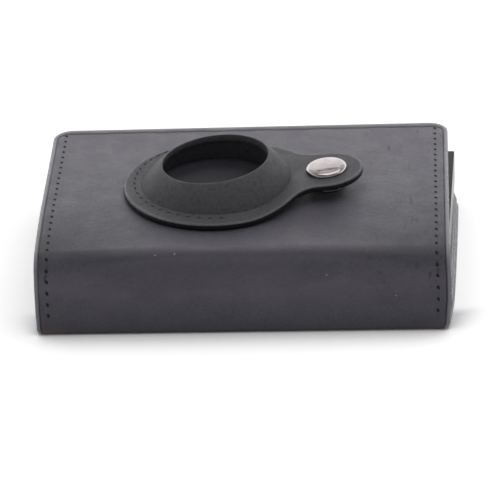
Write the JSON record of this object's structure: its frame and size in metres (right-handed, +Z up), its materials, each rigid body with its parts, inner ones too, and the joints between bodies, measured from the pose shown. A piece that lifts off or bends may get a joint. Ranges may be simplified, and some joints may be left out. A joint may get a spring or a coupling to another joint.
{
  "type": "tracker card wallet",
  "caption": "Leather card wallet that folds round a rigid card case with an ejector lever, with a moulded round tracker pocket held by a snap strap on its cover.",
  "frame": {"origin": "middle of the closed wallet's base, on the surface it lies on", "axes": "+X along the spine to the right, +Y from the spine to the covers' free edges, +Z up out of the pocket's window"},
  "size_m": [0.1024, 0.0698, 0.0314],
  "materials": {
    "outer_leather": "matt charcoal black, fine grain, burnished paler edges",
    "lining_leather": "matt black split leather",
    "case_metal": "satin anodised",
    "snap_nickel": "polished nickel plate",
    "black_plastic": "fine matt",
    "black_textile": "felt and waxed thread"
  },
  "bodies": {
    "back": {"back_cover_leather": "outer_leather", "back_lining": "lining_leather", "back_note_panel": "lining_leather", "back_card_slot": "lining_leather", "case_seat_pad": "lining_leather", "card_case_shell": "case_metal", "case_end_cap": "black_plastic", "case_mouth_bezel": "black_plastic", "felt_strip_lower": "black_textile", "felt_strip_upper": "black_textile", "lever_pivot_pin": "case_metal", "lever_return_spring": "case_metal"},
    "lever": {"ejector_lever": "black_plastic"},
    "spine": {"spine_leather": "outer_leather", "spine_lining": "lining_leather"},
    "front": {"front_cover_leather": "outer_leather", "front_lining": "lining_leather", "front_note_panel": "lining_leather", "front_card_slot_1": "lining_leather", "front_card_slot_2": "lining_leather", "front_card_slot_3": "lining_leather", "pocket_fixed_half": "outer_leather", "snap_stud": "snap_nickel", "snap_post": "snap_nickel"},
    "flap": {"pocket_free_half": "outer_leather", "snap_cap": "snap_nickel", "snap_socket": "snap_nickel"}
  },
  "joints": [
    {"name": "spine_fold", "type": "hinge", "parent": "back", "child": "spine", "pos_m": [-0.00119, -0.03429, 0.00064], "axis": [1, 0, 0], "range_deg": [0, 90]},
    {"name": "cover_fold", "type": "hinge", "parent": "spine", "child": "front", "pos_m": [-0.00119, -0.03391, 0.02127], "axis": [1, 0, 0], "range_deg": [0, 90]},
    {"name": "pocket_flap", "type": "hinge", "parent": "front", "child": "flap", "pos_m": [-0.00829, -0.00254, 0.0302], "axis": [0, -1, 0], "range_deg": [0, 60]},
    {"name": "ejector_press", "type": "hinge", "parent": "back", "child": "lever", "pos_m": [0.04041, -0.02244, 0.0063], "axis": [0, 0, 1], "range_deg": [0, 25], "stiffness_Nm_per_rad": 0.01, "springref_deg": -5.73}
  ]
}
